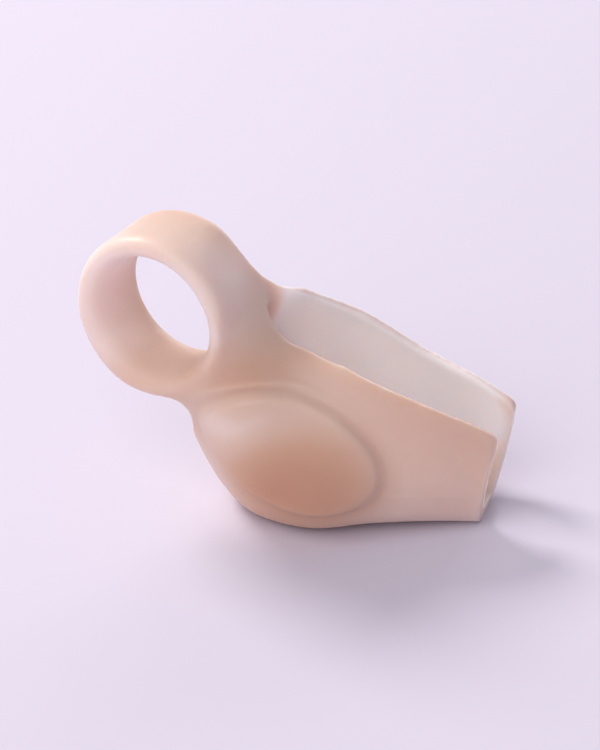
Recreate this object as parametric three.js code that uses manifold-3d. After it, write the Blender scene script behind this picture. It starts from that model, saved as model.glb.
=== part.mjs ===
// Gel bunion protector: one seamless moulding of soft translucent gel. A thick toe loop stands at the
// left end and runs through a neck into a scoop-shaped shield, open along its top and at its right end.
// The outer wall of the shield carries a raised oval cushion that covers the bunion.
// Millimetres. +X runs from the toe loop to the open end, -Y is the padded side, +Z is up.

import * as THREE from 'three';
import { ParametricGeometry } from 'three/addons/geometries/ParametricGeometry.js';
import { mergeVertices } from 'three/addons/utils/BufferGeometryUtils.js';
import Module from 'manifold-3d';

// Toe loop
const TOE_BORE = 24.8;          // diameter of the hole for the big toe
const LOOP_WALL = 5.7;          // thickness of the gel around the toe, halfway up
const LOOP_DROP = 0.7;          // how much thicker the loop is below the toe, and thinner above
const LOOP_LENGTH = 17;         // along the toe
const RIM_RADIUS = 2.4;         // rounding of the loop's outer rims
const BORE_FLARE = 5.5;         // length over which the hole flares to each rim
const RIM_LAND = 0.1;           // flat left between the flare and the rounded rim
const LOOP_TURN = 32;           // degrees that the toe hole is turned from straight across the shield
const LOOP_HEIGHT = 45;         // centre of the hole above the surface it rests on

// Shield
const SHIELD_REACH = 69;        // from the loop's centre to the open end
const SHIELD_WIDTH = 36;        // across both walls
const SHIELD_HEIGHT = 40;       // height of the walls beside the loop
const PAD_WALL = 3;             // gel thickness of the padded wall
const FAR_WALL = 2;             // gel thickness of the opposite wall
const NECK_FILLET = 11;         // reach of the fillet where the loop runs into the shield
const SOLE_DEPTH = 0.8;         // how far the round underside is flat, where the shield rests on it
const END_TURN = 17;            // degrees that the trimmed end is turned towards the padded side
const END_RAKE = 9;             // degrees that the trimmed end leans out over its own foot

// Raised oval cushion on the padded wall
const PAD_LENGTH = 34;
const PAD_HEIGHT = 26;
const PAD_RISE = 1.3;           // how far it stands proud
const PAD_STEP = 3.5;           // width of the rounded step round its edge
const PAD_CENTRE_X = 24.4;      // from the loop's centre, towards the open end
const PAD_CENTRE_Z = 20;        // above the surface it rests on
const PAD_TILT = 6;             // degrees, low side towards the open end

// Mesh fineness
const RIB_STEPS = 78;
const WALL_STEPS = 20;
const RIM_STEPS = 5;
const LOOP_STEPS = 60;
const FILLET_PASSES = 30;
const ROUND_STEPS = 4;

const gel = new THREE.MeshStandardMaterial({
  name: 'translucent gel',
  color: 0xd2b0a4,
  roughness: 0.35,
  metalness: 0,
});

const wasm = await Module();
wasm.setup();

// A closed geometry as a solid that can be joined and cut.
function solidOf(geometry) {
  geometry.deleteAttribute('normal');
  geometry.deleteAttribute('uv');
  const welded = mergeVertices(geometry, 1e-3);
  const corners = welded.index.array;
  const triangles = [];
  for (let i = 0; i < corners.length; i += 3) {
    const [a, b, c] = corners.slice(i, i + 3);
    if (a !== b && b !== c && c !== a) triangles.push(a, b, c);
  }
  return new wasm.Manifold(new wasm.Mesh({
    numProp: 3,
    vertProperties: welded.attributes.position.array,
    triVerts: Uint32Array.from(triangles),
  }));
}

// Toe loop: a rounded band turned about the toe's axis, which starts as +Y before the loop is turned.
const loopFrame = new THREE.Matrix4()
  .makeRotationZ(-THREE.MathUtils.degToRad(LOOP_TURN))
  .setPosition(0, 0, LOOP_HEIGHT);

function toeLoop() {
  const inner = TOE_BORE / 2;
  const outer = inner + LOOP_WALL;
  const half = LOOP_LENGTH / 2;
  const round = Math.min(RIM_RADIUS, LOOP_WALL / 2);
  const flare = Math.min(BORE_FLARE, half - 1);
  const depth = LOOP_WALL - round - RIM_LAND;
  const band = new THREE.Shape();
  band.absarc(outer - round, half - round, round, 0, Math.PI / 2);
  band.absellipse(inner + depth, half - flare, depth, flare, Math.PI / 2, Math.PI);
  band.absellipse(inner + depth, -half + flare, depth, flare, Math.PI, 1.5 * Math.PI);
  band.absarc(outer - round, -half + round, round, 1.5 * Math.PI, 2 * Math.PI);
  const outline = band.getPoints(ROUND_STEPS);
  outline.push(outline[0].clone());
  const geometry = new THREE.LatheGeometry(outline, LOOP_STEPS);
  const corners = geometry.attributes.position;
  for (let i = 0; i < corners.count; i += 1) {
    const depthIn = Math.hypot(corners.getX(i), corners.getZ(i)) - inner;
    corners.setZ(i, corners.getZ(i) - LOOP_DROP * depthIn / LOOP_WALL);
  }
  return geometry.applyMatrix4(loopFrame);
}

// A point in the wall of the loop: turned down from its padded side, and along the toe's axis as a share
// of the loop's length.
function onLoop(degrees, along) {
  const middle = (TOE_BORE + LOOP_WALL) / 2;
  const angle = THREE.MathUtils.degToRad(degrees);
  return new THREE.Vector3(middle * Math.cos(angle), along * LOOP_LENGTH, middle * Math.sin(angle))
    .applyMatrix4(loopFrame);
}

// A point given as shares of the shield's reach, width and height.
function at(x, y, z) {
  return new THREE.Vector3(x * SHIELD_REACH, y * SHIELD_WIDTH, z * SHIELD_HEIGHT);
}

// The ribs of the shield, from the padded side of the open end, round the toe end, and back to the far
// side of the open end. Each rib leaves the keel flat, turns up past its belly and ends at its rim.
const RIBS = [
  { keel: at(1.05, -0.19, 0.00), base: at(1.05, -0.36, 0.00), belly: at(1.05, -0.42, 0.20),
    rim: at(1.06, -0.32, 0.34), wall: 1.0 * PAD_WALL },
  { keel: at(0.91, -0.17, 0.00), base: at(0.91, -0.40, 0.00), belly: at(0.91, -0.50, 0.26),
    rim: at(0.91, -0.34, 0.53), wall: 1.0 * PAD_WALL },
  { keel: at(0.74, -0.12, 0.02), base: at(0.74, -0.51, 0.02), belly: at(0.74, -0.62, 0.34),
    rim: at(0.74, -0.40, 0.70), wall: 1.0 * PAD_WALL },
  { keel: at(0.57, -0.10, 0.02), base: at(0.57, -0.60, 0.02), belly: at(0.57, -0.72, 0.42),
    rim: at(0.57, -0.38, 0.84), wall: 1.0 * PAD_WALL },
  { keel: at(0.43, -0.07, 0.00), base: at(0.43, -0.69, 0.00), belly: at(0.43, -0.78, 0.46),
    rim: at(0.43, -0.28, 0.95), wall: 1.1 * PAD_WALL },
  { keel: at(0.34, -0.03, 0.00), base: at(0.32, -0.66, 0.00), belly: at(0.32, -0.76, 0.52),
    rim: at(0.34, -0.19, 1.05), wall: 1.5 * PAD_WALL },
  { keel: at(0.28, 0.01, 0.00), base: at(0.21, -0.52, 0.00), belly: at(0.20, -0.62, 0.60),
    rim: onLoop(34, -0.15), wall: 2.6 * PAD_WALL },
  { keel: at(0.26, 0.03, 0.00), base: at(0.16, -0.26, 0.00), belly: at(0.10, -0.46, 0.50),
    rim: onLoop(-30, -0.35), wall: 2.0 * PAD_WALL },
  { keel: at(0.26, 0.03, 0.00), base: at(0.12, 0.03, 0.00), belly: at(0.07, -0.08, 0.42),
    rim: onLoop(-95, -0.1), wall: 1.4 * PAD_WALL },
  { keel: at(0.26, 0.03, 0.00), base: at(0.15, 0.20, 0.00), belly: at(0.11, 0.22, 0.44),
    rim: onLoop(-30, 0.2), wall: 2.0 * FAR_WALL },
  { keel: at(0.28, 0.01, 0.00), base: at(0.24, 0.30, 0.00), belly: at(0.22, 0.44, 0.54),
    rim: onLoop(36, 0.3), wall: 2.0 * FAR_WALL },
  { keel: at(0.34, -0.03, 0.00), base: at(0.34, 0.32, 0.00), belly: at(0.33, 0.58, 0.56),
    rim: at(0.31, 0.10, 1.20), wall: 1.3 * FAR_WALL },
  { keel: at(0.43, -0.07, 0.00), base: at(0.43, 0.30, 0.00), belly: at(0.43, 0.64, 0.46),
    rim: at(0.42, 0.36, 1.00), wall: 1.0 * FAR_WALL },
  { keel: at(0.57, -0.10, 0.02), base: at(0.57, 0.26, 0.02), belly: at(0.57, 0.60, 0.38),
    rim: at(0.57, 0.45, 0.84), wall: 1.0 * FAR_WALL },
  { keel: at(0.74, -0.12, 0.02), base: at(0.74, 0.20, 0.02), belly: at(0.74, 0.50, 0.30),
    rim: at(0.74, 0.40, 0.66), wall: 1.0 * FAR_WALL },
  { keel: at(0.91, -0.17, 0.00), base: at(0.91, 0.04, 0.00), belly: at(0.91, 0.30, 0.24),
    rim: at(0.91, 0.20, 0.58), wall: 1.0 * FAR_WALL },
  { keel: at(1.05, -0.19, 0.00), base: at(1.05, -0.02, 0.00), belly: at(1.05, 0.16, 0.20),
    rim: at(1.06, 0.06, 0.45), wall: 1.0 * FAR_WALL },
];

function rail(column) {
  return new THREE.CatmullRomCurve3(RIBS.map((rib) => rib[column]), false, 'catmullrom', 0.5);
}

const rails = { keel: rail('keel'), base: rail('base'), belly: rail('belly'), rim: rail('rim') };
const FLAT_SHARE = 0.5;         // where the flat of the base is anchored between the keel and its edge
const EDGE = 0.02;              // step for taking the slope of the wall

// A point of the shield's outer face: s runs round the ribs, h from the keel up to the rim.
function outerFace(s, h) {
  const keel = rails.keel.getPoint(Math.min(s, 1 - s));
  const base = rails.base.getPoint(s);
  const flat = keel.clone().lerp(base, FLAT_SHARE);
  const belly = rails.belly.getPoint(s);
  const rim = rails.rim.getPoint(s);
  const k = 1 - h;
  const point = new THREE.Vector3()
    .addScaledVector(keel, k ** 4)
    .addScaledVector(flat, 4 * h * k ** 3)
    .addScaledVector(base, 6 * h ** 2 * k ** 2)
    .addScaledVector(belly, 4 * h ** 3 * k)
    .addScaledVector(rim, h ** 4);
  return point.setZ(Math.max(point.z - k * SOLE_DEPTH, 0));
}

function slopeNormal(s, h) {
  const along = outerFace(Math.min(s + EDGE, 1), h).sub(outerFace(Math.max(s - EDGE, 0), h));
  const up = outerFace(s, Math.min(h + EDGE, 1)).sub(outerFace(s, Math.max(h - EDGE, 0)));
  return up.cross(along).normalize();
}

// The outward direction of the wall, the same from both sides of the keel.
function outward(s, h) {
  if (h > EDGE) return slopeNormal(s, h);
  return slopeNormal(s, 2 * EDGE).add(slopeNormal(1 - s, 2 * EDGE)).normalize();
}

// How far the cushion stands proud of the padded wall at a point of its outer face.
function padRise(s, point) {
  if (s >= 0.5) return 0;
  const tilt = THREE.MathUtils.degToRad(PAD_TILT);
  const dx = point.x - PAD_CENTRE_X;
  const dz = point.z - PAD_CENTRE_Z;
  const across = (dx * Math.cos(tilt) - dz * Math.sin(tilt)) / (PAD_LENGTH / 2);
  const upward = (dx * Math.sin(tilt) + dz * Math.cos(tilt)) / (PAD_HEIGHT / 2);
  const inside = (1 - Math.hypot(across, upward)) * (PAD_HEIGHT / 2);
  return PAD_RISE * THREE.MathUtils.smoothstep(inside, 0, PAD_STEP);
}

function ribWall(s) {
  const place = s * (RIBS.length - 1);
  const low = Math.min(Math.floor(place), RIBS.length - 2);
  return THREE.MathUtils.lerp(RIBS[low].wall, RIBS[low + 1].wall, place - low);
}

// The gel's thickness, which changes from one wall's to the other's across the keel.
function thickness(s, h) {
  const atKeel = (ribWall(s) + ribWall(1 - s)) / 2;
  return THREE.MathUtils.lerp(atKeel, ribWall(s), THREE.MathUtils.smoothstep(h, 0, 0.5));
}

// The closed skin of the shield: inner face up, over the rounded rim, and outer face down.
function shieldSkin() {
  const rows = 2 * WALL_STEPS + RIM_STEPS;
  const columns = RIB_STEPS + 2;
  return new ParametricGeometry((u, v, target) => {
    const column = Math.round(u * columns);
    const row = Math.round(v * rows);
    const s = THREE.MathUtils.clamp((column - 1) / RIB_STEPS, 0, 1);
    const capped = column === 0 || column === columns;
    const h = Math.min(row, rows - row, WALL_STEPS) / WALL_STEPS;
    const face = outerFace(s, h);
    const normal = outward(s, h);
    const wall = thickness(s, h);
    const turn = THREE.MathUtils.clamp((row - WALL_STEPS) / RIM_STEPS, 0, 1) * Math.PI;
    const up = outerFace(s, 1).sub(outerFace(s, 1 - EDGE)).normalize();
    const middle = face.clone().addScaledVector(normal, -wall / 2);
    target.copy(middle);
    if (capped) return;
    target.addScaledVector(normal, -wall / 2 * Math.cos(turn));
    target.addScaledVector(up, wall / 2 * Math.sin(turn));
    if (turn === Math.PI) target.addScaledVector(normal, padRise(s, face));
  }, columns, rows);
}

// The tool that trims the open end flat.
function endTrim() {
  const size = 4 * SHIELD_WIDTH;
  return new THREE.BoxGeometry(size, size, size)
    .translate(size / 2, 0, 0)
    .rotateY(THREE.MathUtils.degToRad(END_RAKE))
    .rotateZ(-THREE.MathUtils.degToRad(END_TURN))
    .translate(SHIELD_REACH, 0, SHIELD_HEIGHT / 2);
}

// The toe's way through the loop, wide enough to end inside its wall.
function toeWay() {
  const middle = (TOE_BORE + LOOP_WALL) / 2;
  return new THREE.CylinderGeometry(middle, middle, LOOP_LENGTH / 2, LOOP_STEPS)
    .applyMatrix4(loopFrame);
}

// The corners of a solid as vectors.
function cornersOf(solid) {
  const flat = solid.getMesh().vertProperties;
  return Array.from({ length: flat.length / 3 }, (_, i) => new THREE.Vector3().fromArray(flat, 3 * i));
}

// Draws the corner between the loop and the shield into a fillet: the corners made by joining them mark
// the crease, and the skin within reach of it is evened out, most of all at the crease itself.
function filletNeck(joined, parts) {
  const key = (point) => point.toArray().map((value) => value.toFixed(3)).join();
  const known = new Set(parts.flatMap(cornersOf).map(key));
  const mesh = joined.getMesh();
  let points = cornersOf(joined);
  const crease = points.filter((point) => !known.has(key(point)));
  const share = points.map((point) => {
    const gap = Math.min(...crease.map((mark) => mark.distanceTo(point)));
    return THREE.MathUtils.smoothstep(1 - gap / NECK_FILLET, 0, 1);
  });
  const neighbours = points.map(() => new Set());
  for (let i = 0; i < mesh.triVerts.length; i += 3) {
    const [a, b, c] = mesh.triVerts.slice(i, i + 3);
    neighbours[a].add(b).add(c);
    neighbours[b].add(c).add(a);
    neighbours[c].add(a).add(b);
  }
  for (let pass = 0; pass < FILLET_PASSES; pass += 1) {
    points = points.map((point, i) => {
      if (share[i] === 0) return point;
      const mean = new THREE.Vector3();
      neighbours[i].forEach((j) => mean.add(points[j]));
      return point.clone().lerp(mean.divideScalar(neighbours[i].size), share[i] / 2);
    });
  }
  return { points, triangles: mesh.triVerts };
}

const loop = solidOf(toeLoop());
const shield = solidOf(shieldSkin()).subtract(solidOf(endTrim())).subtract(solidOf(toeWay()));
const moulding = filletNeck(shield.add(loop), [shield, loop]);
const geometry = new THREE.BufferGeometry();
geometry.setFromPoints(moulding.points);
geometry.setIndex(new THREE.BufferAttribute(Uint32Array.from(moulding.triangles), 1));
geometry.computeVertexNormals();
geometry.computeBoundingBox();

// The origin is on the resting surface, under the middle of the moulding.
const box = geometry.boundingBox;
const body = new THREE.Mesh(geometry, gel);
body.name = 'gel_body';
body.position.set(-(box.min.x + box.max.x) / 2, -(box.min.y + box.max.y) / 2, -box.min.z);

const protector = new THREE.Group();
protector.add(body);

export default protector;
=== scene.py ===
import math
import bmesh
import bpy
import numpy as np
from mathutils import Matrix, Vector
from mathutils.bvhtree import BVHTree


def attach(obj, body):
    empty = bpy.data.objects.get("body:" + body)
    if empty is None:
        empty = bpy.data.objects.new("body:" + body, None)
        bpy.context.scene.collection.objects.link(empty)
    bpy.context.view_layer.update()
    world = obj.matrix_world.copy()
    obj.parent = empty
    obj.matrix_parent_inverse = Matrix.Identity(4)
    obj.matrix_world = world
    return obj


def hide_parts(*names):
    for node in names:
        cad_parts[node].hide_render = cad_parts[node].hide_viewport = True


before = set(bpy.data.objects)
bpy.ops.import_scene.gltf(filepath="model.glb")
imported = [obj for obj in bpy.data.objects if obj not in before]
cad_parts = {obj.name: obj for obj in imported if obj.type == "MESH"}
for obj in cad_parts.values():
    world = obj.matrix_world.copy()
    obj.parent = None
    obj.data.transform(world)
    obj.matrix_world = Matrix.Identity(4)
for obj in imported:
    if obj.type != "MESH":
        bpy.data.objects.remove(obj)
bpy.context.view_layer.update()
MM = 0.001


# Gel body. One seamless casting of soft, skin-tinted mineral-oil gel: a thick toe loop, a neck, and a
# scoop-shaped shield whose outer wall carries a raised oval cushion. It looks poured into a mould, as
# every edge is round except the open end, which looks trimmed straight with a blade.
LOOP_CENTRE = Vector((-25.55, 2.85, 45.0)) * MM
GRAIN = 0.5 * MM                # spacing of the points of the fine skin
TRIM_NORMAL = Vector((0.9445, -0.2888, -0.1564))
TRIM_POINT = LOOP_CENTRE + Vector((69, 0, -25)) * MM
TRIM_DEPTH = 0.3 * MM
CORNER_ROUND = 1.6 * MM
PAD_CENTRE = LOOP_CENTRE + Vector((24.4, 0, -25)) * MM
PAD_LENGTH = 34 * MM
PAD_HEIGHT = 26 * MM
PAD_RISE = 1.3 * MM
PAD_STEP = 3.5 * MM
PAD_TILT = math.radians(6)      # its low side is towards the open end
EDGE_CENTRE = PAD_CENTRE + Vector((-0.5, 0, 0.4)) * MM      # the crisp outline of the cushion
EDGE_LENGTH = 37 * MM
EDGE_HEIGHT = 22.5 * MM
EDGE_TILT = math.radians(20)
EDGE_GAP = 2.0 * MM             # from that outline to the middle of the bead and the moat
BEAD_RISE = 0.38 * MM
BEAD_TURN = math.radians(130)   # the bead is at the upper left of the cushion
MOAT_DEPTH = 0.12 * MM
MOAT_TURN = math.radians(30)    # the moat is at its upper right
WALL_START = 4 * MM             # the outer wall starts this far in front of the loop's middle
WALL_WHOLE = 9 * MM             # and carries its full relief from here
NECK = LOOP_CENTRE + Vector((16, -9, -11)) * MM
FAR_ROOT = LOOP_CENTRE + Vector((23, 4, 2)) * MM            # where the far wall leaves the loop
SEAM = ((41, 12.0), (61, 9.2))  # mm from the loop's middle across and above the floor
SEAM_RISE = 0.12 * MM
SEAM_WIDTH = 0.6 * MM
DEEPEST = 16 * MM               # gel any deeper looks the same
RIM_DEEPEST = 7 * MM


def relax(skin, points, rounds, puff=0.0):
    """Evens points out, and puffs them back by a share so that thin walls keep their thickness."""
    for _ in range(rounds):
        for amount in (0.5, -0.5 * puff)[:2 if puff else 1]:
            bmesh.ops.smooth_vert(
                skin, verts=points, factor=amount, mirror_clip_x=False, mirror_clip_y=False,
                mirror_clip_z=False, clip_dist=0, use_axis_x=True, use_axis_y=True, use_axis_z=True)


def relax_round(skin, place, reach, rounds, clear_of_bore=16.5 * MM):
    """Evens the skin out round a place, most of all at its middle, and leaves the toe's hole alone."""
    along_toe = Vector((math.sin(math.radians(32)), math.cos(math.radians(32)), 0))
    for share in (1.0, 0.9, 0.8, 0.7, 0.6, 0.5):
        points = []
        for point in skin.verts:
            arm = point.co - LOOP_CENTRE
            off_axis = (arm - arm.dot(along_toe) * along_toe).length
            if (point.co - place).length < share * reach and off_axis > clear_of_bore:
                points.append(point)
        relax(skin, points, rounds)


def pad_place(point, centre=PAD_CENTRE, length=PAD_LENGTH, height=PAD_HEIGHT, tilt=PAD_TILT):
    """How far a point lies outside the cushion's oval outline, and its direction from the middle."""
    across = point.x - centre.x
    up = point.z - centre.z
    along = (across * math.cos(tilt) - up * math.sin(tilt)) / (length / 2)
    rise = (across * math.sin(tilt) + up * math.cos(tilt)) / (height / 2)
    return (math.hypot(along, rise) - 1) * height / 2, math.atan2(rise, along)


def step(value, low, high):
    """Rises softly from 0 at low to 1 at high."""
    share = min(max((value - low) / (high - low), 0), 1)
    return share * share * (3 - 2 * share)


def hump(value, middle, width):
    """A soft hill, 1 at its middle and nearly nothing at two widths from it."""
    return math.exp(-((value - middle) / width) ** 2)


skin = bmesh.new()
skin.from_mesh(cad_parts["gel_body"].data)
bmesh.ops.remove_doubles(skin, verts=skin.verts, dist=0.002 * MM)
casting = bpy.data.meshes.new("gel_casting")
skin.to_mesh(casting)
skin.free()
gel_body = bpy.data.objects.new("gel_casting", casting)
bpy.context.scene.collection.objects.link(gel_body)
remesh = gel_body.modifiers.new("even_skin", "REMESH")
remesh.mode = "VOXEL"
remesh.voxel_size = GRAIN
evaluated = gel_body.evaluated_get(bpy.context.evaluated_depsgraph_get())
skin = bmesh.new()
skin.from_mesh(evaluated.to_mesh())
evaluated.to_mesh_clear()
gel_body.modifiers.clear()

# The cushion is taken off, the wall under it evened out, and it is put back with its crisp edge: a step,
# a fine bead outside its upper left, and a shallow moat outside its upper right.
skin.normal_update()
near_wall = [point for point in skin.verts
             if point.co.y < LOOP_CENTRE.y - WALL_START and point.normal.y < -0.1
             and pad_place(point.co)[0] < 9 * MM]
for point in near_wall:
    outside = pad_place(point.co)[0]
    outer_skin = step(LOOP_CENTRE.y - point.co.y, WALL_START, WALL_WHOLE)
    point.co -= point.normal * PAD_RISE * step(-outside, 0, PAD_STEP) * outer_skin
relax_round(skin, NECK, 18 * MM, 40)
relax_round(skin, FAR_ROOT, 7 * MM, 4)
relax(skin, skin.verts, 30, puff=1.03)
for margin in (9, 7.5, 6, 4.5, 3):
    relax(skin, [point for point in near_wall if pad_place(point.co)[0] < margin * MM], 25)
skin.normal_update()
for point in near_wall:
    outside, turn = pad_place(point.co, EDGE_CENTRE, EDGE_LENGTH, EDGE_HEIGHT, EDGE_TILT)
    upper_left = max(0, math.cos(turn - BEAD_TURN)) ** 3
    upper_right = max(0, math.cos(turn - MOAT_TURN)) ** 1.5
    height = PAD_RISE * step(-outside, -0.9 * MM, 1.2 * MM)
    height += BEAD_RISE * upper_left * hump(outside, EDGE_GAP, 0.6 * MM)
    height -= MOAT_DEPTH * upper_right * hump(outside, EDGE_GAP, 1.2 * MM)
    point.co += point.normal * height * step(LOOP_CENTRE.y - point.co.y, WALL_START, WALL_WHOLE)
relax(skin, near_wall, 2, puff=1.0)

# A faint line, probably left by the mould, runs from the cushion towards the open end.
for point in skin.verts:
    if point.normal.y < -0.3 and point.co.y < LOOP_CENTRE.y - WALL_START:
        (start, start_up), (end, end_up) = SEAM
        share = ((point.co.x - LOOP_CENTRE.x) / MM - start) / (end - start)
        line = (start_up + share * (end_up - start_up)) * MM
        point.co += point.normal * SEAM_RISE * step(share * (1 - share), 0, 0.1) * hump(
            point.co.z, line, SEAM_WIDTH)

# The two rims run down in a round corner just before the blade's cut, which is square and flat.
for side in (-1, 1):
    wall = [point for point in skin.verts if side * (point.co.y - TRIM_POINT.y + 4 * MM) > 0
            and (TRIM_POINT - point.co).dot(TRIM_NORMAL) < CORNER_ROUND + TRIM_DEPTH]
    top = max(point.co.z for point in wall)
    for point in wall:
        left = max(0, CORNER_ROUND + TRIM_DEPTH - (TRIM_POINT - point.co).dot(TRIM_NORMAL))
        drop = CORNER_ROUND - math.sqrt(max(0, CORNER_ROUND ** 2 - min(left, CORNER_ROUND) ** 2))
        point.co.z -= drop * step(point.co.z, top - 4 * CORNER_ROUND, top - CORNER_ROUND)
trim_plane = TRIM_POINT - TRIM_DEPTH * TRIM_NORMAL
trim = bmesh.ops.bisect_plane(
    skin, geom=[*skin.verts, *skin.edges, *skin.faces], dist=0.01 * MM,
    plane_co=trim_plane, plane_no=TRIM_NORMAL, clear_outer=True)
cut_edges = [part for part in trim["geom_cut"] if isinstance(part, bmesh.types.BMEdge)]
bmesh.ops.triangle_fill(skin, use_beauty=True, edges=cut_edges, normal=TRIM_NORMAL)
bmesh.ops.recalc_face_normals(skin, faces=skin.faces)
skin.to_mesh(casting)
skin.free()
casting.shade_smooth()
casting.set_sharp_from_angle(angle=math.radians(38))

# How deep the gel is under each point of its skin, in metres, evened out as light is inside it; how much
# deeper than round about it is at a rim of the thin walls, where the eye looks along the wall, which sets
# a painted shade along the rims; and which skin is the thin far wall's inner side, which gets painted
# light.
inside = BVHTree.FromPolygons(
    [point.co for point in casting.vertices], [face.vertices[:] for face in casting.polygons])
depth = np.full(len(casting.vertices), DEEPEST)
painted_light_far_inside = np.zeros(len(depth))
for point in casting.vertices:
    beneath = inside.ray_cast(point.co - point.normal * 0.05 * MM, -point.normal, DEEPEST)[3]
    depth[point.index] = beneath or DEEPEST
    arm = (point.co - LOOP_CENTRE) / MM
    painted_light_far_inside[point.index] = step(arm.x, 14, 20) * step(arm.y, 2, 5) * step(-point.normal.y, 0.1, 0.4)
pairs = np.array([edge.vertices[:] for edge in casting.edges])
meetings = np.bincount(pairs.ravel(), minlength=len(depth))


def spread(values, rounds):
    """Each point's value drifts halfway to the average of its neighbours in each round."""
    for _ in range(rounds):
        around = np.bincount(pairs[:, 0], values[pairs[:, 1]], len(values))
        around += np.bincount(pairs[:, 1], values[pairs[:, 0]], len(values))
        values = (values + around / meetings) / 2
    return values


deep = spread(depth, 400)
thin_wall = np.clip(3 - deep / (2 * MM), 0, 1)
rim_shade_depth = np.maximum(spread(np.minimum(depth, RIM_DEEPEST), 16) - deep, 0) * thin_wall
painted_light_far_side = spread(painted_light_far_inside, 40)
for name, values in (("gel_depth", deep), ("rim_shade_depth", rim_shade_depth), ("painted_light_far_inside", painted_light_far_side)):
    casting.attributes.new(name, "FLOAT", "POINT").data.foreach_set("value", values.astype("f"))
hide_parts("gel_body")
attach(gel_body, "root")


def linear(hex_colour):
    """An sRGB hex colour as Blender's linear RGBA."""
    parts = [int(hex_colour[i:i + 2], 16) / 255 for i in (0, 2, 4)]
    return [v / 12.92 if v <= 0.04045 else ((v + 0.055) / 1.055) ** 2.4 for v in parts] + [1]


def add_node(material, kind, settings={}, links={}):
    """Adds a node with its settings and links, and returns it."""
    node = material.node_tree.nodes.new(kind)
    for name, value in settings.items():
        if name in node.inputs:
            node.inputs[name].default_value = value
        else:
            setattr(node, name, value)
    for name, source in links.items():
        material.node_tree.links.new(source, node.inputs[name])
    return node


# Moulded mineral-oil gel: clear elastic gel with a little skin-coloured pigment, taken to be cast in a
# smooth mould. To the eye it is milky and pale where it is thin, warmer where it is thick, with a soft wet
# gloss. The photo is too coarse to show clouds, bubbles, waviness or grain: these four are assumed.
gel = bpy.data.materials.new("moulded_skin_tinted_gel")
gel.use_nodes = True
gel.node_tree.nodes.clear()
place = add_node(gel, "ShaderNodeTexCoord")
gel_depth = add_node(gel, "ShaderNodeAttribute", {"attribute_name": "gel_depth"})
deepness = add_node(gel, "ShaderNodeMapRange", {
    "From Min": 1.8 * MM, "From Max": 7 * MM, "To Min": 0.15, "To Max": 0.40,
}, {"Value": gel_depth.outputs["Fac"]})
clouds = add_node(gel, "ShaderNodeTexNoise", {       # uneven pigment, in clouds 9 mm across
    "Scale": 1 / (9 * MM), "Detail": 4.0, "Roughness": 0.55, "Distortion": 0.6,
}, {"Vector": place.outputs["Object"]})
uneven = add_node(gel, "ShaderNodeMapRange", {
    "From Min": 0.3, "From Max": 0.7, "To Min": -0.012, "To Max": 0.012,
}, {"Value": clouds.outputs["Fac"]})
bubbles = add_node(gel, "ShaderNodeTexVoronoi", {    # pinpoint air bubbles, 3 mm apart and 0.5 mm across
    "Scale": 1 / (3 * MM),
}, {"Vector": place.outputs["Object"]})
pinpoint = add_node(gel, "ShaderNodeMapRange", {
    "From Min": 0.09, "From Max": 0.03, "To Max": 0.06,
}, {"Value": bubbles.outputs["Distance"]})
painted_light_far_skin = add_node(gel, "ShaderNodeAttribute", {"attribute_name": "painted_light_far_inside"})
paler = add_node(gel, "ShaderNodeMapRange", {        # painted light: the far wall's inside drawn paler than its depth gives, for light through the thin wall
    "To Max": -0.28,
}, {"Value": painted_light_far_skin.outputs["Fac"]})
warmth = deepness.outputs["Result"]
for part in (uneven, paler, pinpoint):
    warmth = add_node(gel, "ShaderNodeMath", {"operation": "ADD"}, {
        0: warmth, 1: part.outputs["Result"]}).outputs[0]

# What the depth alone doesn't give, tuned against the photo and guessed where that doesn't show.
# Each row is a soft ball of warmer or paler colour, some of them painted shade or painted light as marked:
# its centre in mm from the loop's middle, its reach in mm each way, and what it adds to the warmth at its
# centre.
for centre, reach, amount in (
        ((-10, -12, 0), (33, 33, 33), -0.29),       # the loop is paler
        ((38, 9, -26), (24, 16, 15), 0.06),         # painted shade in the hollow inside the shield
        ((44, -12, -22), (40, 16, 32), 0.08),       # the near wall beyond the cushion
        ((0, 4, 18), (24, 18, 13), 0.09),           # painted shade on the top of the loop, which the lamps light strongly
        ((-2, -4, -17), (18, 16, 12), 0.16),        # the bottom of the loop
        ((13, 0, 5), (20, 20, 20), -0.12),          # painted light on the loop's shaded side where it turns down to the neck
        ((27, -17, -31), (21, 18, 17), 0.50),       # the middle of the cushion, warmest of all
        ((11, -10, -10), (14, 14, 12), 0.27),       # the thick neck
        ((15, -14, -18), (17, 11, 11), -0.19),      # painted light on the top of the cushion, the side that faces the light
        ((20, 0, -48), (48, 30, 14), 0.27)):        # painted shade on the underside
    ball = add_node(gel, "ShaderNodeMapping", {
        "Scale": [1 / (size * MM) for size in reach],
        "Location": [-(c + o * MM) / (size * MM) for c, o, size in zip(LOOP_CENTRE, centre, reach)],
    }, {"Vector": place.outputs["Object"]})
    fade = add_node(gel, "ShaderNodeTexGradient", {"gradient_type": "SPHERICAL"}, {
        "Vector": ball.outputs["Vector"]})
    glow = add_node(gel, "ShaderNodeMapRange", {
        "interpolation_type": "SMOOTHSTEP", "From Max": 0.75, "To Max": amount,
    }, {"Value": fade.outputs["Fac"]})
    warmth = add_node(gel, "ShaderNodeMath", {"operation": "ADD"}, {
        0: warmth, 1: glow.outputs["Result"]}).outputs[0]
tint = add_node(gel, "ShaderNodeValToRGB", links={"Fac": warmth})
tint.color_ramp.elements[0].color = linear("FAF3F4")
tint.color_ramp.elements[1].color = linear("C0886F")
for share, colour in ((0.15, "EEDDD6"), (0.28, "E2C9BA"), (0.6, "D5AE96")):
    tint.color_ramp.elements.new(share).color = linear(colour)
ripple = add_node(gel, "ShaderNodeTexNoise", {       # a faint waviness, 5 mm from crest to crest
    "Scale": 1 / (5 * MM), "Detail": 2.0,
}, {"Vector": place.outputs["Object"]})
waves = add_node(gel, "ShaderNodeBump", {"Strength": 0.5, "Distance": 0.25 * MM}, {
    "Height": ripple.outputs["Fac"]})
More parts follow.
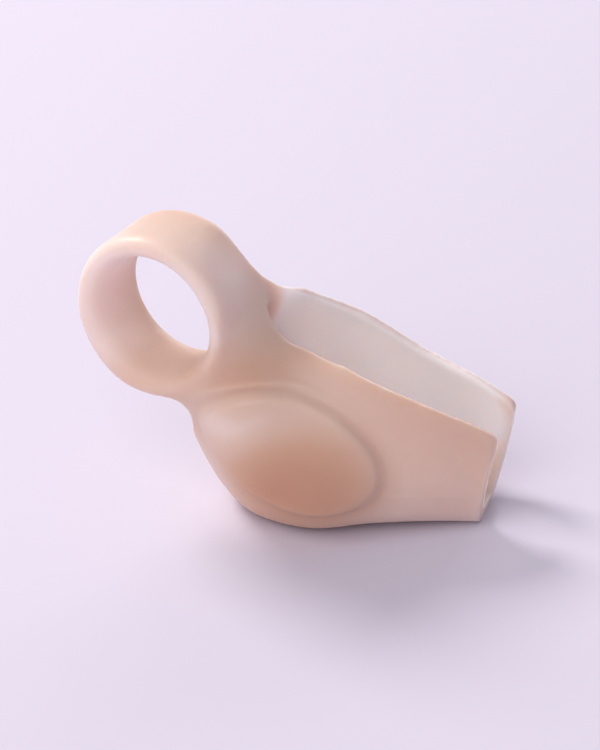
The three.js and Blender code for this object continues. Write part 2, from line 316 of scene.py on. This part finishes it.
peel = add_node(gel, "ShaderNodeTexNoise", {         # matt grain, 0.6 mm so that it shows
    "Scale": 1 / (0.6 * MM), "Detail": 1.0,
}, {"Vector": place.outputs["Object"]})
grain = add_node(gel, "ShaderNodeBump", {"Strength": 0.25, "Distance": 0.03 * MM}, {
    "Height": peel.outputs["Fac"], "Normal": waves.outputs["Normal"]})
gloss = add_node(gel, "ShaderNodeMapRange", {
    "From Min": 0.3, "From Max": 0.7, "To Min": 0.42, "To Max": 0.54,
}, {"Value": ripple.outputs["Fac"]})
rim = add_node(gel, "ShaderNodeAttribute", {"attribute_name": "rim_shade_depth"})
rim_shade_share = add_node(gel, "ShaderNodeMapRange", {
    "From Min": 0.2 * MM, "From Max": 2 * MM, "To Max": 0.7,
}, {"Value": rim.outputs["Fac"]})
rim_shaded = add_node(gel, "ShaderNodeMix", {"data_type": "RGBA"})
rim_shaded.inputs[7].default_value = linear("A08686")     # painted shade: greyer where the eye looks along a thin wall, at its rims and the cut end
gel.node_tree.links.new(rim_shade_share.outputs["Result"], rim_shaded.inputs[0])
gel.node_tree.links.new(tint.outputs["Color"], rim_shaded.inputs[6])
surface = add_node(gel, "ShaderNodeBsdfPrincipled", {
    "IOR": 1.45,
    "Subsurface Weight": 1.0,
    "Subsurface Scale": 0.004,
    "Subsurface Radius": (1.0, 0.8, 0.7),
}, {
    "Base Color": rim_shaded.outputs[2],
    "Roughness": gloss.outputs["Result"],
    "Normal": grain.outputs["Normal"],
})
add_node(gel, "ShaderNodeOutputMaterial", links={"Surface": surface.outputs["BSDF"]})
casting.materials.append(gel)


# Floor: a wide sheet of pale lavender paper that the object lies on.
paper = bmesh.new()
bmesh.ops.create_grid(paper, x_segments=1, y_segments=1, size=3)
sheet = bpy.data.meshes.new("paper_floor")
paper.to_mesh(sheet)
paper.free()
floor = bpy.data.objects.new("paper_floor", sheet)
bpy.context.scene.collection.objects.link(floor)
floor_paper = bpy.data.materials.new("matt_lavender_paper")
floor_paper.use_nodes = True
floor_paper.node_tree.nodes.clear()
paper_surface = add_node(floor_paper, "ShaderNodeBsdfPrincipled", {
    "Base Color": linear("DCD7E7"),
    "Roughness": 0.8,
})
add_node(floor_paper, "ShaderNodeOutputMaterial", links={"Surface": paper_surface.outputs["BSDF"]})
sheet.materials.append(floor_paper)


# Light: a soft box high at the back left throws the soft shadow forward to the right, a second one low
# at the back lights the rims, a wide one in front fills in, and so does a pale room.
def soft_box(name, place, aim, width, power, colour):
    """A round soft box at a place, turned to its aim."""
    lamp = bpy.data.lights.new(name, "AREA")
    lamp.shape = "DISK"
    lamp.size = width
    lamp.energy = power
    lamp.color = linear(colour)[:3]
    holder = bpy.data.objects.new(name, lamp)
    bpy.context.scene.collection.objects.link(holder)
    turn = (aim - place).to_track_quat("-Z", "Y").to_matrix().to_4x4()
    holder.matrix_world = Matrix.Translation(place) @ turn


middle = Vector((0, 0, 0.025))
soft_box("key", Vector((-0.75, 0.75, 0.92)), middle, 0.50, 13.0, "FFFBF8")
soft_box("back", Vector((0.45, 1.25, 0.38)), middle, 0.80, 5.0, "FFFAFC")
soft_box("front", Vector((-0.50, -0.72, 0.85)), middle, 1.20, 8.0, "FFFAF8")
room = bpy.data.worlds.new("pale_room")
bpy.context.scene.world = room
room.use_nodes = True
room.node_tree.nodes["Background"].inputs["Color"].default_value = linear("F2ECF8")
room.node_tree.nodes["Background"].inputs["Strength"].default_value = 0.37
bpy.context.scene.view_settings.view_transform = "Standard"


# Camera: looks down at 30 degrees on the padded side, with a long lens, at 5 pixels per millimetre.
ELEVATION = math.radians(30)
DISTANCE = 0.90
FRAME_HEIGHT = 0.150
look = Vector((0, math.cos(ELEVATION), -math.sin(ELEVATION)))
upward = Vector((0, math.sin(ELEVATION), math.cos(ELEVATION)))
frame_centre = LOOP_CENTRE + Vector((25.6 * MM, 0, 0)) - 14.4 * MM * upward
lens = bpy.data.cameras.new("camera")
lens.sensor_width = 36
lens.lens = lens.sensor_width * DISTANCE / FRAME_HEIGHT
lens.clip_start = 0.01
lens.clip_end = 10
camera = bpy.data.objects.new("camera", lens)
bpy.context.scene.collection.objects.link(camera)
look_turn = look.to_track_quat("-Z", "Y").to_matrix().to_4x4()
camera.matrix_world = Matrix.Translation(frame_centre - DISTANCE * look) @ look_turn
bpy.context.scene.camera = camera
